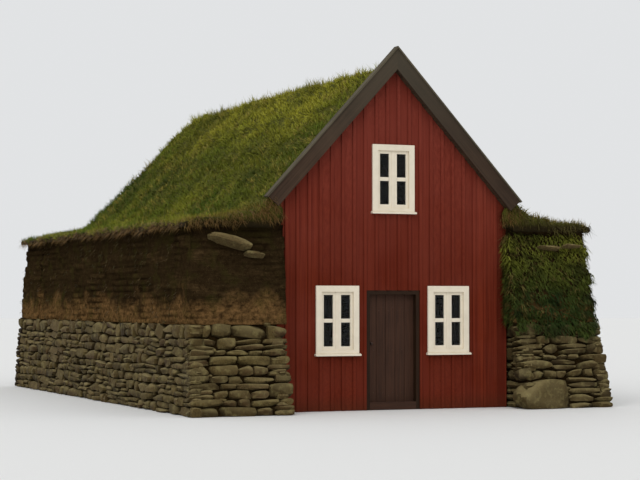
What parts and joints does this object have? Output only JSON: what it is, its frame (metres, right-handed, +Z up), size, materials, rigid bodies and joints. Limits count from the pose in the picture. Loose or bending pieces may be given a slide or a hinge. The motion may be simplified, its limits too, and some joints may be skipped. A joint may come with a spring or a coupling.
{
  "type": "turf house",
  "caption": "Gabled house with a red board-and-batten timber front, thick walls of dry stone and stacked turf, a grassed turf roof and a plank door that opens inwards.",
  "frame": {"origin": "on the ground at the centre of the footprint", "axes": "+X to the right along the front, +Y into the house, +Z up; the timber front faces -Y"},
  "size_m": [6.9, 10.6, 5.4972],
  "materials": {
    "dry_stone": "dry-laid flat field stones, rough and lichened",
    "wall_turf": "stacked turf blocks, rough dark earth with roots",
    "roof_turf": "growing turf with long grass",
    "bare_timber": "rough sawn and unpainted",
    "red_boards": "boards and battens in matt iron-red paint",
    "weathered_boards": "tarred boards weathered to grey-brown",
    "white_joinery": "satin off-white paint",
    "window_glass": "clear sheet glass",
    "door_timber": "dark brown stained planks",
    "iron": "blackened wrought iron"
  },
  "bodies": {
    "house": {"left_wall_stone": "dry_stone", "right_wall_stone": "dry_stone", "rear_wall_stone": "dry_stone", "left_wall_turf": "wall_turf", "right_wall_turf": "wall_turf", "rear_wall_turf": "wall_turf", "roof_turf_left": "roof_turf", "roof_turf_right": "roof_turf", "rear_gable_turf": "roof_turf", "roof_deck_left": "bare_timber", "roof_deck_right": "bare_timber", "ridge_board": "bare_timber", "rafters": "bare_timber", "collars": "bare_timber", "wall_plates": "bare_timber", "posts": "bare_timber", "loft_joists": "bare_timber", "loft_floor": "bare_timber", "floor_sleepers": "bare_timber", "ground_floor": "bare_timber", "front_wall_left": "red_boards", "front_wall_right": "red_boards", "front_wall_gable": "red_boards", "bargeboard_left": "weathered_boards", "bargeboard_right": "weathered_boards", "barge_cap_left": "weathered_boards", "barge_cap_right": "weathered_boards", "window_frame_lower_left": "white_joinery", "window_sash_lower_left": "white_joinery", "window_glass_lower_left": "window_glass", "window_sill_lower_left": "white_joinery", "window_frame_lower_right": "white_joinery", "window_sash_lower_right": "white_joinery", "window_glass_lower_right": "window_glass", "window_sill_lower_right": "white_joinery", "window_frame_upper": "white_joinery", "window_sash_upper": "white_joinery", "window_glass_upper": "window_glass", "window_sill_upper": "white_joinery", "door_frame": "door_timber", "door_threshold": "weathered_boards", "door_pintles": "iron"},
    "door": {"door_leaf": "door_timber", "door_ledges": "door_timber", "door_straps": "iron", "door_knobs": "iron"}
  },
  "joints": [
    {"name": "door_hinge", "type": "hinge", "parent": "house", "child": "door", "pos_m": [0.397, -4.454, 0.91], "axis": [0, 0, -1], "range_deg": [0, 100]}
  ]
}
